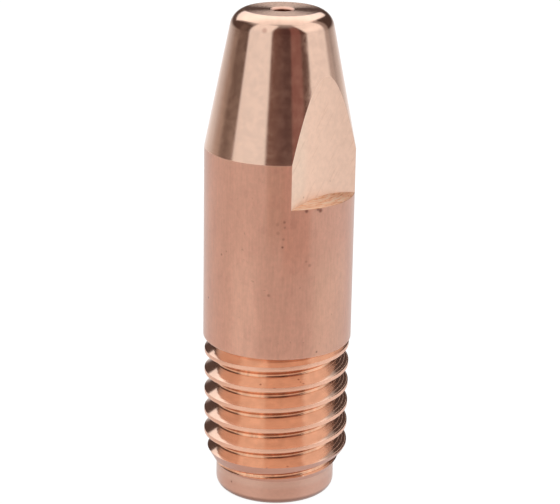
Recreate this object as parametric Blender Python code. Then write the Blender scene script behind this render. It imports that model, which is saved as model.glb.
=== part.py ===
"""A welding contact tip: one turned copper-alloy piece that stands on its threaded end.

From the bottom up it has a plain pilot with a rounded end, a right-hand M12 x 1.75 thread with a
30 degree lead chamfer, a cylindrical body, and a taper with a rounded nose and a flat end face.
Two opposite wrench flats are cut into the taper and the top of the body, and a wire bore runs
through the axis. +Z is up, the origin is at the middle of the bottom face, and the flats face
+X and -X.
"""

import math

import bmesh
import bpy

MM = 0.001

# Driving dimensions, in millimetres
TOTAL_LENGTH = 39.9
BODY_DIAMETER = 12.0
SHOULDER_Z = 13.17  # lower edge of the body
SHOULDER_ANGLE = 30.0  # its underside slopes like a thread flank, from the horizontal
TAPER_Z = 28.97  # where the cylindrical body ends and the taper starts
TAPER_HALF_ANGLE = 11.28
NOSE_RADIUS = 1.53  # rounding between the taper and the end face
END_FACE_DIAMETER = 5.88

THREAD_PITCH = 1.75
THREAD_MAJOR_DIAMETER = 11.76
THREAD_ROOT_DIAMETER = 9.72
THREAD_FLANK_ANGLE = 30.0  # from the horizontal, on each side of the groove
THREAD_CREST_FLAT = 0.31
THREAD_CREST_Z = 12.5  # middle of the crest that faces +X just under the shoulder
LEAD_CHAMFER_Z = 3.93  # where the lead chamfer meets the major diameter
LEAD_CHAMFER_ANGLE = 30.0  # from the axis

PILOT_DIAMETER = 9.68
PILOT_EDGE_RADIUS = 0.75

FLATS_ACROSS = 9.46
LEDGE_Z = 25.39  # lower end of the flats, on the body's surface
LEDGE_ANGLE = 22.0  # the ledge rises towards the axis

BORE_DIAMETER = 1.4
BORE_MOUTH_DIAMETER = 1.9
BORE_MOUTH_DEPTH = 0.15
WIRE_ENTRY_DIAMETER = 2.8  # lead-in for the wire at the bottom end
WIRE_ENTRY_DEPTH = 0.9

SEGMENTS = 72  # sides of a full turn


def tangent(degrees):
    return math.tan(math.radians(degrees))


def link(mesh, name):
    obj = bpy.data.objects.new(name, mesh)
    bpy.context.scene.collection.objects.link(obj)
    return obj


def helper(obj):
    """A shape that only cuts, trims or joins another one."""
    obj.hide_render = True
    obj.display_type = "WIRE"
    return obj


def turned(name, profile):
    """A solid of revolution with a flat face at each end. The profile is its outside, from bottom
    to top, as (radius, z) in millimetres."""
    bm = bmesh.new()
    rings = []
    for radius, z in profile:
        ring = []
        for i in range(SEGMENTS):
            angle = 2 * math.pi * i / SEGMENTS
            ring.append(
                bm.verts.new(
                    (radius * MM * math.cos(angle), radius * MM * math.sin(angle), z * MM)
                )
            )
        rings.append(ring)
    for low, high in zip(rings, rings[1:]):
        for i in range(SEGMENTS):
            j = (i + 1) % SEGMENTS
            bm.faces.new((low[i], low[j], high[j], high[i]))
    bm.faces.new(list(reversed(rings[0])))
    bm.faces.new(rings[-1])
    mesh = bpy.data.meshes.new(name)
    bm.to_mesh(mesh)
    bm.free()
    return link(mesh, name)


def threaded_rod(name, low_turn, high_turn):
    """A screw thread as one closed solid. Its section of one pitch climbs round the axis, and the
    free edge at each end is closed to a point on the axis. Turn 0 is the one whose crest faces +X
    at THREAD_CREST_Z."""
    root = THREAD_ROOT_DIAMETER / 2
    crest = THREAD_MAJOR_DIAMETER / 2
    flank = (crest - root) * tangent(THREAD_FLANK_ANGLE)
    half = THREAD_CREST_FLAT / 2
    # One pitch of the section, as (radius, height above the middle of the crest)
    section = (
        (root, -half - flank),
        (crest, -half),
        (crest, half),
        (root, half + flank),
    )
    steps = (high_turn - low_turn) * SEGMENTS
    bm = bmesh.new()
    columns = []
    for i in range(steps + 1):
        angle = 2 * math.pi * (i % SEGMENTS) / SEGMENTS
        middle = THREAD_CREST_Z + THREAD_PITCH * (low_turn + i / SEGMENTS)
        columns.append(
            [
                bm.verts.new(
                    (r * MM * math.cos(angle), r * MM * math.sin(angle), (middle + h) * MM)
                )
                for r, h in section
            ]
        )
    for here, there in zip(columns, columns[1:]):
        for q in range(3):
            bm.faces.new((here[q], there[q], there[q + 1], here[q + 1]))
    # The root between one turn and the turn above it
    for i in range(steps - SEGMENTS):
        here, there = columns[i], columns[i + 1]
        over, next_over = columns[i + SEGMENTS], columns[i + SEGMENTS + 1]
        bm.faces.new((here[3], there[3], next_over[0], over[0]))
    low_edge = [columns[i][0] for i in range(SEGMENTS + 1)] + list(reversed(columns[0][1:]))
    top = columns[steps - SEGMENTS :]
    high_edge = [c[3] for c in top] + list(reversed(columns[-1][:3]))
    low_z = THREAD_CREST_Z + THREAD_PITCH * (low_turn - 1)
    high_z = THREAD_CREST_Z + THREAD_PITCH * (high_turn + 1)
    low_point = bm.verts.new((0, 0, low_z * MM))
    high_point = bm.verts.new((0, 0, high_z * MM))
    for a, b in zip(low_edge, low_edge[1:] + low_edge[:1]):
        bm.faces.new((b, a, low_point))
    for a, b in zip(high_edge, high_edge[1:] + high_edge[:1]):
        bm.faces.new((a, b, high_point))
    bmesh.ops.recalc_face_normals(bm, faces=bm.faces[:])
    mesh = bpy.data.meshes.new(name)
    bm.to_mesh(mesh)
    bm.free()
    return link(mesh, name)


def slab(name, low, high):
    """A box between two corners, in millimetres."""
    bm = bmesh.new()
    bmesh.ops.create_cube(bm, size=1.0)
    for v in bm.verts:
        v.co = [
            MM * (low[k] + (v.co[k] + 0.5) * (high[k] - low[k])) for k in range(3)
        ]
    mesh = bpy.data.meshes.new(name)
    bm.to_mesh(mesh)
    bm.free()
    return link(mesh, name)


def boolean(obj, other, operation):
    modifier = obj.modifiers.new(f"{operation.lower()} {other.name}", "BOOLEAN")
    modifier.operation = operation
    modifier.solver = "EXACT"
    modifier.object = other


def arc(centre_r, centre_z, radius, start, end, count):
    """Points of an arc in the section plane, at angles from the +r direction in degrees."""
    points = []
    for i in range(count + 1):
        a = math.radians(start + (end - start) * i / count)
        points.append((centre_r + radius * math.cos(a), centre_z + radius * math.sin(a)))
    return points


def nose_centre():
    """Centre of the nose rounding: tangent to the taper, and through the end face's edge."""
    slope = math.radians(TAPER_HALF_ANGLE)

    def beside_taper(z):
        return BODY_DIAMETER / 2 - (NOSE_RADIUS + (z - TAPER_Z) * math.sin(slope)) / math.cos(slope)

    low, high = TOTAL_LENGTH - NOSE_RADIUS, TOTAL_LENGTH - 0.5 * NOSE_RADIUS
    for _ in range(60):
        z = (low + high) / 2
        reach = math.hypot(END_FACE_DIAMETER / 2 - beside_taper(z), TOTAL_LENGTH - z)
        # Raising the centre brings the arc's top above the end face
        if reach > NOSE_RADIUS:
            low = z
        else:
            high = z
    return beside_taper(z), z


def outer_profile():
    body = BODY_DIAMETER / 2
    pilot = PILOT_DIAMETER / 2
    core = 4.0  # the thread form stands on this core, which it hides
    core_low = 3.0
    core_high = SHOULDER_Z - (body - core) * tangent(SHOULDER_ANGLE)
    nose_r, nose_z = nose_centre()
    nose_end = math.degrees(math.acos((END_FACE_DIAMETER / 2 - nose_r) / NOSE_RADIUS))
    profile = arc(
        pilot - PILOT_EDGE_RADIUS, PILOT_EDGE_RADIUS, PILOT_EDGE_RADIUS, -90, 0, 5
    )
    profile += [
        (pilot, 2.45),
        (core, core_low),
        (core, core_high),
        (body, SHOULDER_Z),
        (body, TAPER_Z),
    ]
    profile += arc(nose_r, nose_z, NOSE_RADIUS, TAPER_HALF_ANGLE, nose_end, 8)
    return profile


def copper():
    material = bpy.data.materials.new("copper")
    material.use_nodes = True
    shader = material.node_tree.nodes["Principled BSDF"]
    shader.inputs["Base Color"].default_value = (0.74, 0.42, 0.30, 1.0)
    shader.inputs["Metallic"].default_value = 1.0
    shader.inputs["Roughness"].default_value = 0.3
    material.diffuse_color = (0.74, 0.42, 0.30, 1.0)
    return material


for old in list(bpy.data.objects):
    bpy.data.objects.remove(old, do_unlink=True)

tip = turned("contact_tip", outer_profile())

# The thread: its helical form, trimmed by the lead chamfer below and buried in the body above
thread = helper(threaded_rod("thread_form", -8, 2))
lead = tangent(LEAD_CHAMFER_ANGLE)
outside = THREAD_MAJOR_DIAMETER / 2 + 0.4
trim_low = 1.2
trim = helper(
    turned(
        "thread_trim",
        [
            (THREAD_MAJOR_DIAMETER / 2 - (LEAD_CHAMFER_Z - trim_low) * lead, trim_low),
            (outside, LEAD_CHAMFER_Z + 0.4 / lead),
            (outside, SHOULDER_Z + 1.0),
        ],
    )
)
boolean(thread, trim, "INTERSECT")
boolean(tip, thread, "UNION")

# The wrench flats: everything outside each flat and above the ledge, which is part of a cone
# round the axis
rise = tangent(LEDGE_ANGLE)
reach = BODY_DIAMETER / 2 + 2.0
for side, sign in (("front", 1), ("back", -1)):
    flat = helper(
        turned(
            f"{side}_flat_cutter",
            [
                (0.5, LEDGE_Z + (BODY_DIAMETER / 2 - 0.5) * rise),
                (reach, LEDGE_Z + (BODY_DIAMETER / 2 - reach) * rise),
                (reach, TOTAL_LENGTH + 2.0),
                (0.5, TOTAL_LENGTH + 2.0),
            ],
        )
    )
    plane = FLATS_ACROSS / 2
    corners = sorted((sign * plane, sign * (reach + 1.0)))
    half = helper(
        slab(
            f"{side}_flat_side",
            (corners[0], -reach - 1.0, LEDGE_Z - 4.0),
            (corners[1], reach + 1.0, TOTAL_LENGTH + 3.0),
        )
    )
    boolean(flat, half, "INTERSECT")
    boolean(tip, flat, "DIFFERENCE")

# The wire bore, with a shallow mouth in the end face and a lead-in for the wire below
bore = BORE_DIAMETER / 2
mouth = BORE_MOUTH_DIAMETER / 2
entry = WIRE_ENTRY_DIAMETER / 2
mouth_slope = (mouth - bore) / BORE_MOUTH_DEPTH
entry_slope = (entry - bore) / WIRE_ENTRY_DEPTH
bore_cutter = helper(
    turned(
        "bore_cutter",
        [
            (entry + entry_slope * 0.5, -0.5),
            (bore, WIRE_ENTRY_DEPTH),
            (bore, TOTAL_LENGTH - BORE_MOUTH_DEPTH),
            (mouth + mouth_slope * 0.1, TOTAL_LENGTH + 0.1),
        ],
    )
)
boolean(tip, bore_cutter, "DIFFERENCE")

tip.data.materials.append(copper())
tip.data.shade_smooth()
tip.data.set_sharp_from_angle(angle=math.radians(25))
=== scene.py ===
import math

import bpy
import numpy as np
from mathutils import Matrix, Vector


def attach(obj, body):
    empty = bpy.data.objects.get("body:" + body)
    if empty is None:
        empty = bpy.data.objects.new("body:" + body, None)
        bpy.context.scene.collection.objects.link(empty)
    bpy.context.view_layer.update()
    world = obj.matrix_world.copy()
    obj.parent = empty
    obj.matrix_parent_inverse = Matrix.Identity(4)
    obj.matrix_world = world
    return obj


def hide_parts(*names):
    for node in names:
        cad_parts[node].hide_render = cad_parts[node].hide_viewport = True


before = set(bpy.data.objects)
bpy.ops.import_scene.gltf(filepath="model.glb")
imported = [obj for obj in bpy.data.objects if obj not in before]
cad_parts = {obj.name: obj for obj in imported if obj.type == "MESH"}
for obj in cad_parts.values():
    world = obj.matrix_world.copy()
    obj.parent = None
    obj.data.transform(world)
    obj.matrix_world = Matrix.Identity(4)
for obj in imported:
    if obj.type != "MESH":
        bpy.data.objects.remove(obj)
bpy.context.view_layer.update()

MM = 0.001

# ---------------------------------------------------------------------------------------------
# Sizes, in millimetres, as the frame has them
# ---------------------------------------------------------------------------------------------
TOTAL = 39.9
BODY_R = 6.0
SHOULDER_Z = 13.17
SHOULDER_EDGE = 0.15
TAPER_Z = 28.97
TAPER_TAN = math.tan(math.radians(11.28))
NOSE_R = 1.53
FACE_R = 2.94

PITCH = 1.75
MAJOR_R = 5.88
ROOT_R = 4.86
FLANK_TAN = math.tan(math.radians(30.0))
CREST_HALF = 0.155
ROOT_FILLET = 0.19
CREST_Z = 12.5
CHAMFER_Z = 3.93
CHAMFER_TAN = math.tan(math.radians(30.0))

PILOT_R = 4.84
PILOT_EDGE = 0.75

FLAT_X = 4.73
LEDGE_Z = 25.39
LEDGE_TAN = math.tan(math.radians(22.0))

BORE_R = 0.7
MOUTH_R = 0.95
MOUTH_DEPTH = 0.15
ENTRY_R = 1.4
ENTRY_DEPTH = 0.9

# The camera looks from this direction, as an angle round +Z from +X
VIEW_ANGLE = -47.0
# Height of the overhead light panel above the nose
OVERHEAD = 90.0

# Surface zones, which are also the material slots
BODY, TAPER, NOSE, FACE, FLAT, LEDGE, GROOVE, CREST, PILOT, BORE, FOOT, ROOT = range(12)


# ---------------------------------------------------------------------------------------------
# The surface, as radius over angle and height
# ---------------------------------------------------------------------------------------------
def smooth_min(a, b, k):
    h = np.clip(1.0 - np.abs(a - b) / k, 0.0, 1.0)
    return np.minimum(a, b) - h * h * k * 0.25


def nose_centre():
    """Tangent to the taper, and through the end face's edge."""
    slope = math.atan(TAPER_TAN)

    def beside(z):
        return BODY_R - (NOSE_R + (z - TAPER_Z) * math.sin(slope)) / math.cos(slope)

    low, high = TOTAL - NOSE_R, TOTAL - 0.5 * NOSE_R
    for _ in range(60):
        z = (low + high) / 2
        if math.hypot(FACE_R - beside(z), TOTAL - z) > NOSE_R:
            low = z
        else:
            high = z
    return beside(z), z


NOSE_C = nose_centre()
NOSE_START = math.atan(TAPER_TAN)
NOSE_END = math.acos((FACE_R - NOSE_C[0]) / NOSE_R)


def flat_radius(theta):
    """Distance from the axis to the nearer wrench flat, along the direction theta."""
    return FLAT_X / np.maximum(np.abs(np.cos(theta)), 1e-3)


def thread_section():
    """One pitch of the groove and crest, as (height above the crest's middle, radius), from the
    middle of the crest down to just above the middle of the next crest below. The cut leaves the
    crest's upper corner sharp and its lower corner slightly broken."""
    flank = (MAJOR_R - ROOT_R) * FLANK_TAN
    root_half = PITCH / 2 - CREST_HALF - flank
    low = -CREST_HALF - flank
    middle = low - root_half

    def half(c):
        corner = MAJOR_R - c * 0.6
        points = [
            (0.0, MAJOR_R),
            (-CREST_HALF + c, MAJOR_R),
            (-CREST_HALF + 0.3 * c, MAJOR_R - 0.17 * c),
            (-CREST_HALF - (MAJOR_R - corner) * FLANK_TAN, corner),
        ]
        for t in (0.25, 0.5, 0.75):
            r = corner + (ROOT_R + 0.5 * ROOT_FILLET - corner) * t
            points.append((-CREST_HALF - (MAJOR_R - r) * FLANK_TAN, r))
        for degrees in (120.0, 132.0, 144.0, 156.0, 168.0, 180.0):
            a = math.radians(degrees)
            points.append(
                (
                    low + ROOT_FILLET * (math.sin(a) - FLANK_TAN),
                    ROOT_R + ROOT_FILLET * (1.0 + math.cos(a)),
                )
            )
        return points

    below = half(0.045)
    above = half(0.014)
    return below + [(middle, ROOT_R)] + [(2 * middle - h, r) for h, r in reversed(above)][:-1]


SECTION = thread_section()
SECTION_H = np.array([h for h, _ in SECTION])
SECTION_R = np.array([r for _, r in SECTION])


def thread_radius(theta_degrees, z):
    """Radius of the helical form at any height."""
    above = (z - CREST_Z - PITCH * theta_degrees / 360.0) / PITCH
    h = (above - np.ceil(above - 1e-12)) * PITCH  # from -PITCH to 0
    order = np.argsort(SECTION_H)
    hs = np.concatenate([[-PITCH], SECTION_H[order]])
    rs = np.concatenate([[MAJOR_R], SECTION_R[order]])
    return np.interp(h, hs, rs)


def shoulder_radius(z):
    return BODY_R - (SHOULDER_Z - z) / FLANK_TAN


def chamfer_radius(z):
    return MAJOR_R + (z - CHAMFER_Z) * CHAMFER_TAN


def crossing(f, low, high, steps=60):
    """Height in [low, high] where f changes sign, by halving."""
    a, b = low, high
    fa = f(a)
    for _ in range(steps):
        m = 0.5 * (a + b)
        fm = f(m)
        if (fa <= 0) == (fm <= 0):
            a, fa = m, fm
        else:
            b = m
    return 0.5 * (a + b)


def shoulder_foot(theta_degrees):
    """Height where the shoulder's sloping underside meets the thread, from above."""
    z = SHOULDER_Z - 0.004
    step = 0.01
    while z > SHOULDER_Z - 1.0:
        if thread_radius(theta_degrees, z - step) >= shoulder_radius(z - step):
            return float(
                crossing(
                    lambda h: thread_radius(theta_degrees, h) - shoulder_radius(h), z, z - step
                )
            )
        z -= step
    return z


def beta_angle():
    return math.degrees(math.acos(FLAT_X / BODY_R))


def columns():
    """Angles of the mesh columns in degrees, from 0 to 360, closer together along the flats'
    straight edges."""
    base = list(np.arange(0, 360.001, 1.125))
    beta = beta_angle()
    edges = [beta, 180 - beta, 180 + beta, 360 - beta]
    near = (-0.42, -0.28, -0.14, 0.0, 0.14, 0.28, 0.42)
    kept = [a for a in base if min(abs(a - e) for e in edges) > 0.6]
    return np.array(sorted(kept + [e + d for e in edges for d in near]))


def body_rows(theta_degrees):
    """(height, radius, zone of the face above) for one column, from the bottom face's edge to the
    end face's edge."""
    theta = math.radians(theta_degrees)
    rows = []

    def add(z, r, zone):
        rows.append((float(z), float(r), zone))

    # Foot rounding and pilot
    for i in range(9):
        a = math.radians(-90 + 90 * i / 8)
        add(
            PILOT_EDGE + PILOT_EDGE * math.sin(a),
            PILOT_R - PILOT_EDGE + PILOT_EDGE * math.cos(a),
            PILOT,
        )
    pilot_top = CHAMFER_Z - (MAJOR_R - PILOT_R) / CHAMFER_TAN
    add(1.1, PILOT_R, PILOT)
    add(1.6, PILOT_R, PILOT)
    add(pilot_top - 0.03, PILOT_R, PILOT)

    # Lead chamfer, then the thread, then the shoulder's underside
    foot = shoulder_foot(theta_degrees)
    heights = []
    turn = PITCH * theta_degrees / 360.0
    for k in range(-1, 8):
        for h, _ in SECTION:
            heights.append(CREST_Z + turn - PITCH * k + h)
    heights = np.array(sorted(heights))
    low_end = pilot_top
    heights = np.clip(heights, low_end, foot)

    def profile(z):
        return min(float(thread_radius(theta_degrees, z)), float(chamfer_radius(z)))

    # Put a row exactly on each line where the chamfer meets the helical form
    fine = np.arange(low_end, CHAMFER_Z + 0.011, 0.01)
    gap = thread_radius(theta_degrees, fine) - chamfer_radius(fine)
    turns = np.nonzero(np.diff(np.sign(gap)) != 0)[0]
    for i in turns:
        z = float(
            crossing(
                lambda h: float(thread_radius(theta_degrees, h) - chamfer_radius(h)),
                fine[i],
                fine[i + 1],
            )
        )
        inner = np.nonzero((heights > low_end) & (heights < foot))[0]
        nearest = inner[np.argmin(np.abs(heights[inner] - z))]
        heights[nearest] = z
    heights = np.sort(heights)
    for i, z in enumerate(heights):
        up = heights[i + 1] if i + 1 < len(heights) else z
        middle = 0.5 * (z + up)
        on_thread = float(thread_radius(theta_degrees, middle))
        if on_thread > chamfer_radius(middle):
            zone = CREST
        elif on_thread > MAJOR_R - 0.03:
            zone = CREST
        elif on_thread < ROOT_R + 0.5 * ROOT_FILLET:
            zone = ROOT
        else:
            zone = GROOVE
        add(z, profile(z), zone)
    # Shoulder underside and its edge
    e = SHOULDER_EDGE
    tangent = e * math.tan(math.radians(30.0))
    span = SHOULDER_Z - 0.5 * tangent - foot
    for t in (0.0, 0.33, 0.66, 1.0):
        z = foot + span * t
        add(z, shoulder_radius(z) if t else profile(z), GROOVE if t < 1 else BODY)
    for degrees in (-48.0, -36.0, -24.0, -12.0, 0.0):
        a = math.radians(degrees)
        add(SHOULDER_Z + tangent + e * math.sin(a), BODY_R - e + e * math.cos(a), BODY)
    for z in (13.5, 15.0, 17.0, 19.0, 21.0, 23.0, 24.4, LEDGE_Z - 0.05):
        add(z, BODY_R, BODY)

    # Ledge and flat, then the taper. Away from the flats the ledge rows close up.
    plane = float(flat_radius(theta))
    on_flat = plane < BODY_R
    ledge_top = LEDGE_Z + (BODY_R - plane) * LEDGE_TAN if on_flat else LEDGE_Z
    add(LEDGE_Z - 0.012, BODY_R - (0.001 if on_flat else 0.0), BODY)
    add(LEDGE_Z + (0.004 if on_flat else 0.0), BODY_R - (0.012 if on_flat else 0.0), LEDGE)
    span = ledge_top - LEDGE_Z
    for t in (0.25, 0.5, 0.75, 0.93):
        z = LEDGE_Z + span * t
        add(max(z, rows[-1][0]), BODY_R - (z - LEDGE_Z) / LEDGE_TAN, LEDGE)
    if on_flat:
        flat_top = TAPER_Z + (BODY_R - plane) / TAPER_TAN
    else:
        flat_top = TAPER_Z

    def upper(z):
        """Taper and body, cut by the flat, with the edge between them just broken."""
        turned = BODY_R if z <= TAPER_Z else BODY_R - (z - TAPER_Z) * TAPER_TAN
        return float(smooth_min(np.array(turned), np.array(plane), 0.022))

    start = ledge_top
    side = FLAT if on_flat else BODY
    reach = 0.12
    for t in (0.0, 0.04, 0.12, 0.25, 0.4, 0.55, 0.7, 0.82, 0.92, 1.0):
        z = start + (flat_top - reach - start) * t
        add(z, upper(z), side)
    for d, zone in (
        (-0.08, side),
        (-0.04, side),
        (0.0, TAPER),
        (0.04, TAPER),
        (0.08, TAPER),
        (0.13, TAPER),
    ):
        z = flat_top + d
        add(z, upper(z), zone)
    start = flat_top + 0.13
    nose_low = NOSE_C[1] + NOSE_R * math.sin(NOSE_START)
    for t in (0.08, 0.2, 0.35, 0.5, 0.65, 0.8, 0.92):
        z = start + (nose_low - start) * t
        add(z, upper(z), TAPER)
    for i in range(19):
        a = NOSE_START + (NOSE_END - NOSE_START) * i / 18
        add(
            NOSE_C[1] + NOSE_R * math.sin(a),
            NOSE_C[0] + NOSE_R * math.cos(a),
            NOSE if i < 18 else FACE,
        )
    return rows


def end_rings():
    """Rings on the end face, down the wire bore, and back out over the bottom face, as (height,
    radius, zone of the face after it)."""
    rings = []
    for r in (2.90, 2.6, 2.3, 2.0, 1.7, 1.4, 1.15, MOUTH_R + 0.02):
        # A turned face is very slightly dished towards its rim
        drop = 0.012 * ((r - MOUTH_R) / (FACE_R - MOUTH_R)) ** 2 - 0.012
        rings.append((TOTAL + drop * 0.3, r, FACE))
    rings.append((TOTAL - 0.008, MOUTH_R, BORE))
    rings.append((TOTAL - MOUTH_DEPTH * 0.5, (MOUTH_R + BORE_R) / 2 + 0.03, BORE))
    rings.append((TOTAL - MOUTH_DEPTH, BORE_R + 0.015, BORE))
    rings.append((TOTAL - MOUTH_DEPTH - 0.03, BORE_R, BORE))
    for z in (39.0, 38.0, 36.0, 32.0, 26.0, 18.0, 10.0, 5.0, 2.0, ENTRY_DEPTH):
        rings.append((z, BORE_R, BORE))
    rings.append((ENTRY_DEPTH * 0.5, (BORE_R + ENTRY_R) / 2, BORE))
    rings.append((0.0, ENTRY_R, FOOT))
    for r in (2.0, 2.8, 3.5):
        rings.append((0.0, r, FOOT))
    return rings


def build_tip():
    angles = columns()
    columns_rows = [body_rows(a) for a in angles]
    count = min(len(rows) for rows in columns_rows)
    assert all(len(rows) == count for rows in columns_rows)
    z = np.array([[row[0] for row in rows] for rows in columns_rows])
    r = np.array([[row[1] for row in rows] for rows in columns_rows])
    zone = np.array([[row[2] for row in rows] for rows in columns_rows])
    theta = np.radians(angles)

    points, index = [], {}
    keys = {}

    def vertex(x, y, h):
        key = (round(x * 2e4), round(y * 2e4), round(h * 2e4))
        if key not in keys:
            keys[key] = len(points)
            points.append((x, y, h))
        return keys[key]

    faces, zones = [], []

    def face(ids, kind):
        kept = [v for i, v in enumerate(ids) if v != ids[i - 1]]
        if len(set(kept)) >= 3 and len(set(kept)) == len(kept):
            faces.append(kept)
            zones.append(int(kind))

    n = len(angles)
    grid = [
        [
            vertex(
                r[i, j] * math.cos(theta[i]), r[i, j] * math.sin(theta[i]), z[i, j]
            )
            for j in range(count)
        ]
        for i in range(n)
    ]
    for i in range(n - 1):
        for j in range(count - 1):
            kind = zone[i, j] if z[i, j + 1] - z[i, j] >= z[i + 1, j + 1] - z[i + 1, j] else zone[i + 1, j]
            face((grid[i][j], grid[i + 1][j], grid[i + 1][j + 1], grid[i][j + 1]), kind)
    previous = [grid[i][-1] for i in range(n)]
    kind = FACE
    for height, radius, after in end_rings():
        ring = [
            vertex(radius * math.cos(t), radius * math.sin(t), height) for t in theta
        ]
        for i in range(n - 1):
            face((previous[i], previous[i + 1], ring[i + 1], ring[i]), kind)
        previous, kind = ring, after
    first = [grid[i][0] for i in range(n)]
    for i in range(n - 1):
        face((previous[i], previous[i + 1], first[i + 1], first[i]), FOOT)

    mesh = bpy.data.meshes.new("tip_surface")
    mesh.from_pydata([(x * MM, y * MM, h * MM) for x, y, h in points], [], faces)
    mesh.polygons.foreach_set("material_index", np.array(zones, np.int32))
    mesh.shade_smooth()
    mesh.validate()
    mesh.update()
    mesh.set_sharp_from_angle(angle=math.radians(18.0))
    obj = bpy.data.objects.new("contact_tip_surface", mesh)
    bpy.context.scene.collection.objects.link(obj)
    return obj


# ---------------------------------------------------------------------------------------------
# Materials
# ---------------------------------------------------------------------------------------------
class Nodes:
    """Small helper to write node trees as expressions."""

    def __init__(self, tree):
        self.tree = tree

    def add(self, kind, **settings):
        node = self.tree.nodes.new(kind)
        for key, value in settings.items():
            setattr(node, key, value)
        return node

    def put(self, socket, value):
        if isinstance(value, bpy.types.NodeSocket):
            self.tree.links.new(value, socket)
        else:
            socket.default_value = value

    def math(self, operation, a, b=0.0, c=0.0, clamp=False):
        node = self.add("ShaderNodeMath", operation=operation, use_clamp=clamp)
        for socket, value in zip(node.inputs, (a, b, c)):
            self.put(socket, value)
        return node.outputs[0]

    def ramp(self, value, low, high, to_low=0.0, to_high=1.0, smooth=True):
        node = self.add(
            "ShaderNodeMapRange", interpolation_type="SMOOTHSTEP" if smooth else "LINEAR"
        )
        for name, x in (
            ("Value", value),
            ("From Min", low),
            ("From Max", high),
            ("To Min", to_low),
            ("To Max", to_high),
        ):
            self.put(node.inputs[name], x)
        return node.outputs[0]

    def mix(self, factor, a, b, blend="MIX"):
        node = self.add("ShaderNodeMix", data_type="RGBA", blend_type=blend)
        self.put(node.inputs[0], factor)
        self.put(node.inputs[6], a)
        self.put(node.inputs[7], b)
        return node.outputs[2]

    def noise(self, vector, scale, detail=2.0, roughness=0.5, distortion=0.0):
        node = self.add("ShaderNodeTexNoise")
        self.put(node.inputs["Vector"], vector)
        self.put(node.inputs["Scale"], scale)
        self.put(node.inputs["Detail"], detail)
        self.put(node.inputs["Roughness"], roughness)
        self.put(node.inputs["Distortion"], distortion)
        return node.outputs["Fac"]

    def combine(self, x, y, z):
        node = self.add("ShaderNodeCombineXYZ")
        for socket, value in zip(node.inputs, (x, y, z)):
            self.put(socket, value)
        return node.outputs[0]


def place(n):
    """Radius, angle and height of the shaded point, in millimetres and radians."""
    coordinate = n.add("ShaderNodeTexCoord")
    split = n.add("ShaderNodeSeparateXYZ")
    n.tree.links.new(coordinate.outputs["Object"], split.inputs[0])
    x = n.math("MULTIPLY", split.outputs[0], 1000.0)
    y = n.math("MULTIPLY", split.outputs[1], 1000.0)
    z = n.math("MULTIPLY", split.outputs[2], 1000.0)
    angle = n.math("ARCTAN2", y, x)
    radius = n.math("SQRT", n.math("ADD", n.math("MULTIPLY", x, x), n.math("MULTIPLY", y, y)))
    return x, y, z, radius, angle


def rgb(r, g, b):
    return (r, g, b, 1.0)


COPPER = (0.86, 0.58, 0.45)


def metal(
    name, colour, roughness, anisotropic=0.0, rotation=0.0, detail=None, metallic=1.0, sheen=0.0
):
    """A bare metal finish. A satin surface scatters part of its light like a matt one, so its
    metallic value is lower. detail gives the base colour, the roughness and a height to bump."""
    material = bpy.data.materials.new(name)
    material.use_nodes = True
    n = Nodes(material.node_tree)
    shader = material.node_tree.nodes["Principled BSDF"]
    shader.inputs["Metallic"].default_value = metallic
    shader.inputs["Anisotropic"].default_value = anisotropic
    shader.inputs["Anisotropic Rotation"].default_value = rotation
    shader.inputs["Sheen Weight"].default_value = sheen
    shader.inputs["Sheen Roughness"].default_value = 0.38
    if anisotropic:
        tangent = n.add("ShaderNodeTangent", direction_type="RADIAL", axis="Z")
        n.tree.links.new(tangent.outputs[0], shader.inputs["Tangent"])
    where = place(n)
    base, rough, bump = rgb(*colour), roughness, None
    if detail:
        base, rough, bump = detail(n, where, rgb(*colour), roughness)
    n.put(shader.inputs["Base Color"], base)
    n.put(shader.inputs["Roughness"], rough)
    if bump is not None:
        height, strength, distance = bump
        node = n.add("ShaderNodeBump")
        node.inputs["Strength"].default_value = strength
        node.inputs["Distance"].default_value = distance
        n.put(node.inputs["Height"], height)
        n.tree.links.new(node.outputs[0], shader.inputs["Normal"])
    return material


def around(n, where, across, along, offset=0.0):
    """Texture space that follows the surface: around the axis and along it, with its own scale
    each way, and no seam."""
    x, y, z, radius, angle = where
    return n.combine(
        n.math("MULTIPLY", n.math("COSINE", angle), 6.0 * across),
        n.math("MULTIPLY", n.math("SINE", angle), 6.0 * across),
        n.math("ADD", n.math("MULTIPLY", z, along), offset),
    )


def shade(n, base, factor, dark, light):
    """base scaled from dark to light as factor runs from 0 to 1."""
    gain = n.ramp(factor, 0.0, 1.0, dark, light, smooth=False)
    return n.mix(1.0, base, n.combine(gain, gain, gain), blend="MULTIPLY")


def angle_from_camera_side(n, where):
    """Angle round the axis in degrees, from 47 degrees clockwise of the front flat, which is the side the camera
    looks from.
    """
    return n.math("ADD", n.math("MULTIPLY", where[4], 180.0 / math.pi), 47.0)


def lobe(n, value, low, high, soft):
    rise = n.ramp(value, low - soft, low + soft)
    return n.math("MULTIPLY", rise, n.ramp(value, high - soft, high + soft, 1.0, 0.0))


def tinted(n, base, mask, r, g, b):
    """base times a colour where the mask is 1."""
    return n.mix(mask, base, n.mix(1.0, base, rgb(r, g, b), blend="MULTIPLY"))


def marked(n, where, base, marks, colour=(0.26, 0.09, 0.06)):
    """Small dark marks, each as (x, y, height, reach in millimetres, strength)."""
    point = n.combine(*where[:3])
    for x, y, z, reach, strength in marks:
        away = n.add("ShaderNodeVectorMath", operation="DISTANCE")
        n.put(away.inputs[0], point)
        away.inputs[1].default_value = (x, y, z)
        mask = n.ramp(away.outputs["Value"], 0.2 * reach, reach, strength, 0.0)
        base = n.mix(mask, base, rgb(*colour))
    return base


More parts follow.
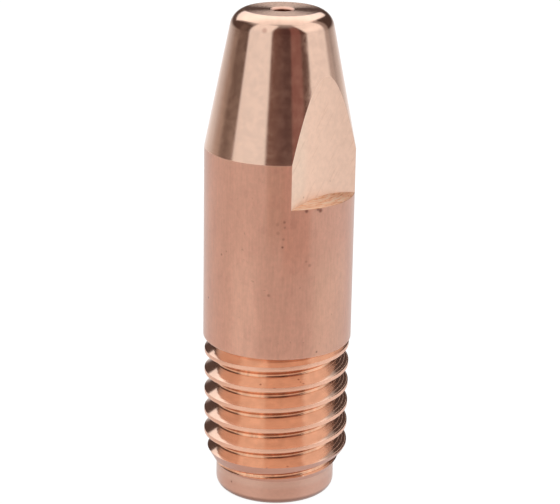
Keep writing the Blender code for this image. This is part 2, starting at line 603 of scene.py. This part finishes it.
def drawn(n, where, base, roughness):
    """Drawn bar: fine streaks along the axis, soft broad tone changes, tiny specks, and painted reflections:
    darker bands and lighter bands by angle from the camera's side.
    """
    z = where[2]
    streaks = n.noise(around(n, where, 6.5, 0.55), 1.0, 4.0, 0.62)
    broad = n.noise(around(n, where, 0.9, 0.18, 7.0), 1.0, 3.0, 0.55)
    tone = n.math("ADD", n.math("MULTIPLY", streaks, 0.5), n.math("MULTIPLY", broad, 0.5))
    base = shade(n, base, n.ramp(tone, 0.3, 0.7), 0.93, 1.06)
    grain = n.noise(around(n, where, 3.0, 2.2, 11.0), 1.0, 3.0, 0.65)
    base = shade(n, base, n.ramp(grain, 0.3, 0.7), 0.955, 1.04)
    dull = n.noise(around(n, where, 1.0, 0.9, 19.0), 1.0, 3.0, 0.6)
    base = tinted(n, base, n.ramp(dull, 0.52, 0.68), 0.965, 0.94, 0.945)
    # Painted reflections: darker bands high up, facing the dark front of the studio, and lighter bands lower down,
    # where the side softboxes would show in the surface.
    side = angle_from_camera_side(n, where)
    upper = n.ramp(z, 21.0, 25.0)
    lower = n.ramp(z, 19.0, 23.5, 1.0, 0.0)
    base = tinted(n, base, n.math("MULTIPLY", lobe(n, side, -9.0, 4.0, 2.5), upper), 0.92, 0.86, 0.82)
    middle = n.ramp(z, 18.5, 22.5)
    base = tinted(n, base, n.math("MULTIPLY", lobe(n, side, 3.0, 24.0, 3.0), middle), 0.97, 0.87, 0.84)
    base = tinted(n, base, n.math("MULTIPLY", lobe(n, side, -37.0, -16.0, 6.0), lower), 1.10, 1.15, 1.16)
    base = tinted(n, base, n.math("MULTIPLY", lobe(n, side, 27.0, 62.0, 6.0), lower), 1.05, 1.10, 1.08)
    speck = n.noise(around(n, where, 3.2, 3.2, 3.0), 1.0, 0.0)
    speck = n.ramp(speck, 0.80, 0.88)
    base = n.mix(n.math("MULTIPLY", speck, 0.3), base, rgb(0.35, 0.16, 0.12))
    base = marked(
        n,
        where,
        base,
        (
            (4.40, -4.08, 24.48, 0.16, 0.55),
            (4.43, -4.06, 24.05, 0.13, 0.40),
            (4.36, -4.12, 23.10, 0.16, 0.35),
            (4.32, -4.17, 22.46, 0.13, 0.85),
            (4.05, -4.42, 23.60, 0.22, 0.25),
            (4.02, -4.46, 24.30, 0.22, 0.25),
            (-0.50, -5.98, 21.16, 0.15, 0.55),
            (0.05, -6.00, 21.55, 0.12, 0.40),
            (5.52, -2.34, 20.86, 0.20, 0.35),
            (5.40, -2.60, 21.20, 0.14, 0.30),
            (-2.39, -5.50, 16.99, 0.14, 0.90),
            (3.55, -4.84, 18.50, 0.18, 0.45),
            (5.79, -1.58, 13.55, 0.13, 0.70),
            (5.38, -2.66, 25.30, 0.22, 0.85),
            (5.80, -1.53, 25.22, 0.26, 0.90),
            (5.74, -1.74, 25.34, 0.20, 0.80),
        ),
    )
    return base, roughness, (streaks, 0.05, 0.0002)


def turned_finish(n, where, base, roughness):
    x, y, z, radius, angle = where
    rings = n.noise(n.combine(0.0, 0.0, n.math("MULTIPLY", z, 14.0)), 1.0, 2.0, 0.6)
    base = shade(n, base, rings, 0.97, 1.03)
    cloud = n.noise(around(n, where, 1.1, 1.3, 5.0), 1.0, 3.0, 0.6)
    base = shade(n, base, n.ramp(cloud, 0.3, 0.7), 0.955, 1.02)
    roughness = n.ramp(cloud, 0.35, 0.75, roughness * 0.9, roughness * 1.3)
    marks = ((1.59, -3.66, 38.96, 0.32, 0.38),)
    base = marked(n, where, base, marks)
    return base, roughness, (rings, 0.03, 0.0002)


def faced(n, where, base, roughness):
    x, y, z, radius, angle = where
    rings = n.noise(n.combine(n.math("MULTIPLY", radius, 9.0), 0.0, 0.0), 1.0, 2.0, 0.6)
    return base, roughness, (rings, 0.08, 0.0003)


def cut_flank(n, where, base, roughness):
    """Thread flanks: fine rings that the threading tool leaves, and slight stains."""
    x, y, z, radius, angle = where
    wave = n.math("SINE", n.math("MULTIPLY", radius, 2.0 * math.pi * 5.0))
    rough = n.noise(n.combine(n.math("MULTIPLY", radius, 16.0), 0.0, 0.0), 1.0, 2.0, 0.6)
    height = n.math("ADD", n.math("MULTIPLY", wave, 0.35), rough)
    stain = n.noise(around(n, where, 0.8, 2.4), 1.0, 3.0, 0.6)
    base = shade(n, base, n.ramp(stain, 0.3, 0.7), 0.93, 1.04)
    # Rougher marks on one side, where the tool chattered
    marks = n.ramp(n.math("SINE", n.math("MULTIPLY", radius, 2.0 * math.pi * 4.2)), 0.55, 0.95)
    marks = n.math("MULTIPLY", marks, lobe(n, angle_from_camera_side(n, where), 52.0, 150.0, 6.0))
    roughness = n.math("ADD", n.math("MULTIPLY", marks, 0.32), roughness)
    base = marked(
        n,
        where,
        base,
        (
            (2.78, -4.78, 10.82, 0.12, 0.8),
            (3.91, -4.36, 10.68, 0.12, 0.7),
            (4.68, -2.41, 11.13, 0.12, 0.7),
            (5.17, -2.35, 10.90, 0.10, 0.6),
            (4.95, -2.45, 11.00, 0.10, 0.5),
            (0.60, -5.20, 9.35, 0.12, 0.6),
            (4.56, -3.37, 3.85, 0.12, 0.6),
        ),
    )
    return base, roughness, (height, 0.012, 0.0002)


def blotchy_root(n, where, base, roughness):
    """Bottom of the groove, with blotchy tone, darker on average."""
    stain = n.noise(around(n, where, 1.6, 1.2), 1.0, 3.0, 0.6)
    base = shade(n, base, n.ramp(stain, 0.3, 0.7), 0.82, 1.08)
    return base, roughness, None


def milled(n, where, base, roughness):
    x, y, z, radius, angle = where
    away = n.math(
        "SQRT",
        n.math(
            "ADD",
            n.math("POWER", n.math("ADD", y, 9.0), 2.0),
            n.math("POWER", n.math("SUBTRACT", z, 34.0), 2.0),
        ),
    )
    arcs = n.noise(n.combine(n.math("MULTIPLY", away, 7.0), 0.0, 0.0), 1.0, 3.0, 0.6)
    broad = n.noise(n.combine(y, n.math("MULTIPLY", z, 0.7), 2.0), 0.9, 2.0, 0.5)
    base = shade(n, base, n.math("ADD", n.math("MULTIPLY", arcs, 0.5), n.math("MULTIPLY", broad, 0.5)), 0.94, 1.06)
    across = n.math("SUBTRACT", n.math("MULTIPLY", y, 4.9), n.math("MULTIPLY", z, 3.9))
    along = n.math("ADD", n.math("MULTIPLY", y, 0.25), n.math("MULTIPLY", z, 0.3))
    scratch = n.noise(n.combine(across, along, x), 1.0, 1.0, 0.5)
    base = tinted(n, base, n.ramp(scratch, 0.64, 0.72), 0.93, 0.90, 0.88)
    blotch = n.noise(n.combine(x, n.math("MULTIPLY", y, 2.2), n.math("MULTIPLY", z, 2.2)), 1.0, 3.0, 0.6)
    base = shade(n, base, n.ramp(blotch, 0.3, 0.7), 0.955, 1.035)
    # Painted light and shade: darker towards +y and towards the top of the flat, paler and greyer towards -y, as
    # light falls across the flat.
    base = tinted(n, base, n.ramp(y, -1.8, 2.6), 0.92, 0.91, 0.91)
    base = tinted(n, base, n.ramp(y, -1.6, -2.8), 0.99, 1.05, 1.06)
    base = tinted(n, base, n.ramp(z, 34.6, 36.4), 0.93, 0.92, 0.90)
    base = marked(n, where, base, ((4.73, -2.33, 26.19, 0.13, 0.35), (4.73, 0.75, 26.9, 0.14, 0.2)))
    return base, roughness, (arcs, 0.06, 0.0002)


def rough_cut(n, where, base, roughness):
    x, y, z, radius, angle = where
    lines = n.noise(
        n.combine(n.math("MULTIPLY", radius, 9.0), n.math("MULTIPLY", angle, 2.0), 0.0), 1.0, 3.0, 0.6
    )
    base = shade(n, base, lines, 0.80, 1.15)
    chips = n.noise(n.combine(n.math("MULTIPLY", y, 1.5), n.math("MULTIPLY", radius, 8.0), z), 1.0, 2.0, 0.6)
    base = tinted(n, base, n.ramp(chips, 0.48, 0.60), 1.0, 1.20, 1.38)
    base = tinted(n, base, n.ramp(chips, 0.46, 0.34), 0.84, 0.72, 0.62)
    base = tinted(n, base, n.ramp(radius, 5.94, 5.99), 0.70, 0.60, 0.55)
    return base, roughness, (lines, 0.25, 0.0004)


def scuffed(n, where, base, roughness):
    spots = n.noise(around(n, where, 2.2, 5.0), 1.0, 3.0, 0.6)
    base = shade(n, base, spots, 0.90, 1.08)
    return base, roughness, (spots, 0.06, 0.0002)


def crest_finish(n, where, base, roughness):
    """The bar's outside left between the grooves, darker on the lead chamfer."""
    base, roughness, bump = scuffed(n, where, base, roughness)
    base = tinted(n, base, n.ramp(where[2], 4.1, 4.6, 1.0, 0.0), 0.62, 0.55, 0.57)
    return base, roughness, bump


def bore_finish_and_shade(n, where, base, roughness):
    """Painted shade: darker down the bore below the mouth, where the hole is in shadow."""
    base, roughness, bump = turned_finish(n, where, base, roughness)
    # Painted shade inside the hole, below the mouth.
    dark = n.ramp(where[2], TOTAL - MOUTH_DEPTH - 0.02, TOTAL - MOUTH_DEPTH + 0.08, 1.0, 0.0)
    return tinted(n, base, dark, 0.50, 0.32, 0.26), roughness, bump


def pilot_finish_and_painted_light(n, where, base, roughness):
    """Painted shade on the rounding at the bottom, where the floor's contact shadow would fall and show in it, and
    painted light towards the top of the pilot.
    """
    z = where[2]
    base, roughness, bump = scuffed(n, where, base, roughness)
    # Painted shade: darker near the floor.
    base = tinted(n, base, n.ramp(z, 0.40, 0.74, 1.0, 0.0), 0.40, 0.33, 0.31)
    # Painted light: paler and lighter towards the top of the pilot.
    base = tinted(n, base, n.ramp(z, 1.30, 1.75), 1.04, 1.14, 1.18)
    base = marked(n, where, base, ((-0.28, -4.83, 1.42, 0.13, 0.8),))
    return base, roughness, bump


def make_materials():
    f = COPPER
    return [
        metal("copper_drawn", (0.76, 0.412, 0.305), 0.42, 0.8, 0.0, drawn, 0.5, 0.9),
        metal("copper_bright_taper", f, 0.16, 0.9, 0.25, turned_finish),
        metal("copper_bright_nose", f, 0.12, 0.0, 0.0, turned_finish),
        metal("copper_end_face", f, 0.22, 0.95, 0.25, faced),
        metal("copper_milled_flat", f, 0.36, 0.0, 0.0, milled),
        metal("copper_rough_ledge", (1.0, 0.62, 0.41), 0.42, 0.0, 0.0, rough_cut, 0.85),
        metal("copper_thread_groove", f, 0.12, 0.6, 0.25, cut_flank),
        metal("copper_thread_crest", (1.0, 0.60, 0.44), 0.50, 0.0, 0.0, crest_finish, 0.7, 0.7),
        metal("copper_pilot", (0.765, 0.43, 0.325), 0.45, 0.0, 0.0, pilot_finish_and_painted_light, 0.35, 0.9),
        metal("copper_bore", (0.74, 0.46, 0.36), 0.35, 0.0, 0.0, bore_finish_and_shade),
        metal("copper_foot", f, 0.35, 0.0, 0.0, faced),
        metal("copper_thread_root", (0.85, 0.47, 0.31), 0.20, 0.0, 0.0, blotchy_root),
    ]


# ---------------------------------------------------------------------------------------------
# Studio: pale floor, and soft light from panels round the object
# ---------------------------------------------------------------------------------------------
def make_world():
    world = bpy.data.worlds.new("studio")
    bpy.context.scene.world = world
    world.use_nodes = True
    tree = world.node_tree
    for node in list(tree.nodes):
        tree.nodes.remove(node)
    n = Nodes(tree)
    coordinate = n.add("ShaderNodeTexCoord")
    split = n.add("ShaderNodeSeparateXYZ")
    tree.links.new(coordinate.outputs["Generated"], split.inputs[0])
    x, y, z = split.outputs
    turn = math.radians(VIEW_ANGLE)
    front = n.math("ADD", n.math("MULTIPLY", x, math.cos(turn)), n.math("MULTIPLY", y, math.sin(turn)))
    right = n.math("ADD", n.math("MULTIPLY", x, -math.sin(turn)), n.math("MULTIPLY", y, math.cos(turn)))
    degrees = 180.0 / math.pi
    az = n.math("MULTIPLY", n.math("ARCTAN2", right, front), degrees)
    el = n.math("MULTIPLY", n.math("ARCSINE", z), degrees)

    def window(value, low, high, soft_low, soft_high):
        rise = n.ramp(value, low - soft_low, low + soft_low)
        fall = n.ramp(value, high - soft_high, high + soft_high, 1.0, 0.0)
        return n.math("MULTIPLY", rise, fall)

    def panel(base, a, e, colour, soft_a=1.5, soft_e=3.0):
        """Light or dark panel over azimuth range a and elevation range e, in degrees."""
        mask = n.math(
            "MULTIPLY",
            window(az, a[0], a[1], soft_a, soft_a),
            window(el, e[0], e[1], soft_e, soft_e),
        )
        return n.mix(mask, base, rgb(*colour))

    def split_at(edge, soft, before, after, value=None):
        """before on one side of an azimuth, after on the other side."""
        return n.mix(n.ramp(az if value is None else value, edge - soft, edge + soft), before, after)

    # Upper half: a dark room, lighter high up
    shade_side = split_at(0.0, 20.0, rgb(0.10, 0.070, 0.062), rgb(0.08, 0.056, 0.050))
    high = n.ramp(el, n.ramp(az, -20.0, 20.0, 31.0, 39.5), n.ramp(az, -20.0, 20.0, 50.0, 44.5))
    light = n.mix(high, shade_side, rgb(0.42, 0.41, 0.41))
    light = panel(light, (106.0, 120.0), (-20.0, 50.0), (0.35, 0.31, 0.30), 4.0, 4.0)
    # Front: a dark opening, and a softbox on each side
    dark = split_at(-4.0, 14.0, rgb(0.165, 0.095, 0.080), rgb(0.090, 0.047, 0.044))
    dark = split_at(19.5, 1.5, dark, rgb(0.244, 0.119, 0.107))
    dark = split_at(40.5, 1.5, dark, rgb(0.108, 0.059, 0.050))
    dark = n.mix(n.ramp(el, 40.0, 62.0), dark, rgb(0.33, 0.31, 0.31))
    lean = n.math("MULTIPLY", n.math("MAXIMUM", n.math("SUBTRACT", el, 30.0), 0.0), 0.35)
    left_side = n.math("SUBTRACT", az, lean)
    lean = n.math("MULTIPLY", n.math("MAXIMUM", n.math("SUBTRACT", el, 8.0), 0.0), 0.38)
    right_side = n.math("ADD", az, lean)
    left_box = n.mix(n.ramp(el, 2.0, 40.0), rgb(0.89, 0.92, 0.94), rgb(1.04, 1.05, 1.05))
    right_box = n.mix(n.ramp(el, 4.0, 25.0), rgb(0.86, 0.87, 0.88), rgb(1.18, 1.19, 1.19))
    right_box = n.mix(n.ramp(el, 30.0, 45.0), right_box, rgb(1.05, 1.05, 1.05))
    front = n.mix(n.ramp(left_side, -23.5, -20.5), left_box, dark)
    front = n.mix(n.ramp(right_side, 53.5, 58.5), front, right_box)
    wide = n.math("MULTIPLY", n.ramp(az, -77.5, -74.5), n.ramp(az, 101.0, 111.0, 1.0, 0.0))
    wide = n.math("MULTIPLY", wide, n.ramp(el, 58.0, 66.0, 1.0, 0.0))
    light = n.mix(wide, light, front)
    # Lower half: the white table, lit by the two softboxes, and in the far part up to the horizon
    near = n.mix(n.ramp(el, -38.0, -10.0), rgb(0.915, 0.79, 0.70), rgb(0.56, 0.46, 0.42))
    table = split_at(-73.0, 5.0, rgb(0.82, 0.71, 0.64), rgb(1.05, 1.03, 0.98))
    table = split_at(-21.0, 4.0, table, near)
    table = split_at(54.0, 5.0, table, rgb(1.07, 1.10, 1.10))
    table = split_at(106.0, 7.0, table, rgb(0.76, 0.76, 0.76))
    side = n.math("ABSOLUTE", az)
    table = n.mix(n.ramp(side, 112.0, 135.0), table, rgb(0.95, 0.95, 0.95))
    light = n.mix(n.ramp(el, -10.0, 4.0, 1.0, 0.0, smooth=False), light, table)
    light = panel(light, (-105.0, -86.0), (-6.0, 30.0), (0.16, 0.12, 0.105), 5.0, 3.0)

    lit = n.add("ShaderNodeBackground")
    n.put(lit.inputs["Color"], light)
    lit.inputs["Strength"].default_value = 1.0
    plain = n.add("ShaderNodeBackground")
    plain.inputs["Color"].default_value = rgb(1.0, 1.0, 1.0)
    ray = n.add("ShaderNodeLightPath")
    pick = n.add("ShaderNodeMixShader")
    tree.links.new(ray.outputs["Is Camera Ray"], pick.inputs[0])
    tree.links.new(lit.outputs[0], pick.inputs[1])
    tree.links.new(plain.outputs[0], pick.inputs[2])
    out = n.add("ShaderNodeOutputWorld")
    tree.links.new(pick.outputs[0], out.inputs[0])


def make_overhead():
    """Soft light panel above the object, brightest at the back, with soft edges."""
    height = TOTAL + OVERHEAD
    turn = math.radians(VIEW_ANGLE)
    towards = Vector((math.cos(turn), math.sin(turn), 0.0))
    sideways = Vector((-math.sin(turn), math.cos(turn), 0.0))
    corners = [(-290.0, -290.0), (90.0, -290.0), (90.0, 160.0), (-290.0, 160.0)]
    points = [(towards * f + sideways * r + Vector((0.0, 0.0, height))) * MM for f, r in corners]
    mesh = bpy.data.meshes.new("overhead_panel")
    mesh.from_pydata([tuple(p) for p in points], [], [(0, 1, 2, 3)])
    panel = bpy.data.objects.new("overhead_panel", mesh)
    bpy.context.scene.collection.objects.link(panel)
    material = bpy.data.materials.new("panel_light")
    material.use_nodes = True
    tree = material.node_tree
    for node in list(tree.nodes):
        tree.nodes.remove(node)
    n = Nodes(tree)
    coordinate = n.add("ShaderNodeTexCoord")
    split = n.add("ShaderNodeSeparateXYZ")
    tree.links.new(coordinate.outputs["Object"], split.inputs[0])
    x, y, _ = split.outputs
    scale = 1.0 / (OVERHEAD * MM)
    front = n.math(
        "ADD", n.math("MULTIPLY", x, math.cos(turn) * scale), n.math("MULTIPLY", y, math.sin(turn) * scale)
    )
    right = n.math(
        "ADD", n.math("MULTIPLY", x, -math.sin(turn) * scale), n.math("MULTIPLY", y, math.cos(turn) * scale)
    )
    # Right edge at 0.72 and spreading backwards, left edge at -0.90 and spreading more
    from_right = n.math("ADD", right, n.math("MULTIPLY", front, 0.165))
    from_left = n.math("SUBTRACT", right, n.math("MULTIPLY", front, 0.62))
    mask = n.math(
        "MULTIPLY",
        n.ramp(from_right, 0.62, 0.86, 1.0, 0.0),
        n.ramp(from_left, -1.10, -0.75, 0.0, 1.0),
    )
    mask = n.math("MULTIPLY", mask, n.ramp(front, 0.25, 0.55, 1.0, 0.0))
    mask = n.math("MULTIPLY", mask, n.ramp(front, -3.0, -2.6, 0.0, 1.0))
    back = n.ramp(front, -2.4, -0.7, 1.13, 1.44)
    strength = n.math("SUBTRACT", back, n.ramp(front, -0.6, 0.25, 0.0, 0.38))
    glow = n.add("ShaderNodeEmission")
    n.put(glow.inputs["Strength"], strength)
    clear = n.add("ShaderNodeBsdfTransparent")
    pick = n.add("ShaderNodeMixShader")
    n.put(pick.inputs[0], mask)
    tree.links.new(clear.outputs[0], pick.inputs[1])
    tree.links.new(glow.outputs[0], pick.inputs[2])
    out = n.add("ShaderNodeOutputMaterial")
    tree.links.new(pick.outputs[0], out.inputs[0])
    mesh.materials.append(material)
    panel.visible_camera = False
    panel.visible_shadow = False


def make_floor():
    size = 3.0
    mesh = bpy.data.meshes.new("floor")
    mesh.from_pydata(
        [(-size, -size, -0.00002), (size, -size, -0.00002), (size, size, -0.00002), (-size, size, -0.00002)],
        [],
        [(0, 1, 2, 3)],
    )
    floor = bpy.data.objects.new("floor", mesh)
    bpy.context.scene.collection.objects.link(floor)
    material = bpy.data.materials.new("floor_white")
    material.use_nodes = True
    shader = material.node_tree.nodes["Principled BSDF"]
    shader.inputs["Base Color"].default_value = rgb(0.10, 0.10, 0.10)
    shader.inputs["Roughness"].default_value = 1.0
    shader.inputs["Specular IOR Level"].default_value = 0.0
    shader.inputs["Emission Color"].default_value = rgb(1.0, 1.0, 1.0)
    shader.inputs["Emission Strength"].default_value = 0.97
    mesh.materials.append(material)
    floor.visible_glossy = False
    floor.visible_diffuse = False


def make_camera():
    """Set from the angle, distance and length of lens that the picture was taken with."""
    tilt, roll, pan = 0.3159, 0.0176, -0.0009
    distance, height = 151.66, 69.70
    turn = math.radians(VIEW_ANGLE)
    towards = Vector((math.cos(turn), math.sin(turn), 0.0))
    sideways = Vector((-math.sin(turn), math.cos(turn), 0.0))
    up = Vector((0.0, 0.0, 1.0))
    forward = (
        towards * (-math.cos(tilt) * math.cos(pan))
        + sideways * (-math.cos(tilt) * math.sin(pan))
        + up * -math.sin(tilt)
    ).normalized()
    right = forward.cross(up).normalized()
    top = right.cross(forward)
    x = right * math.cos(roll) + top * math.sin(roll)
    y = -right * math.sin(roll) + top * math.cos(roll)
    data = bpy.data.cameras.new("camera")
    data.sensor_fit = "HORIZONTAL"
    data.sensor_width = 36.0
    data.lens = 1984.70 / 560.0 * 36.0
    data.clip_start = 0.01
    data.clip_end = 20.0
    camera = bpy.data.objects.new("camera", data)
    bpy.context.scene.collection.objects.link(camera)
    place_at = (towards * distance + up * height) * MM
    camera.matrix_world = Matrix(
        (
            (x.x, y.x, -forward.x, place_at.x),
            (x.y, y.y, -forward.y, place_at.y),
            (x.z, y.z, -forward.z, place_at.z),
            (0.0, 0.0, 0.0, 1.0),
        )
    )
    bpy.context.scene.camera = camera


make_camera()
make_world()
make_overhead()
make_floor()
bpy.context.scene.view_settings.view_transform = "Standard"

tip = build_tip()
for made in make_materials():
    tip.data.materials.append(made)
weighted = tip.modifiers.new("weighted normals", "WEIGHTED_NORMAL")
weighted.mode = "FACE_AREA"
weighted.weight = 60
weighted.keep_sharp = True
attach(tip, "root")
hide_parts("contact_tip")


def plain(box):
    return [[float(v) for v in corner] for corner in box]
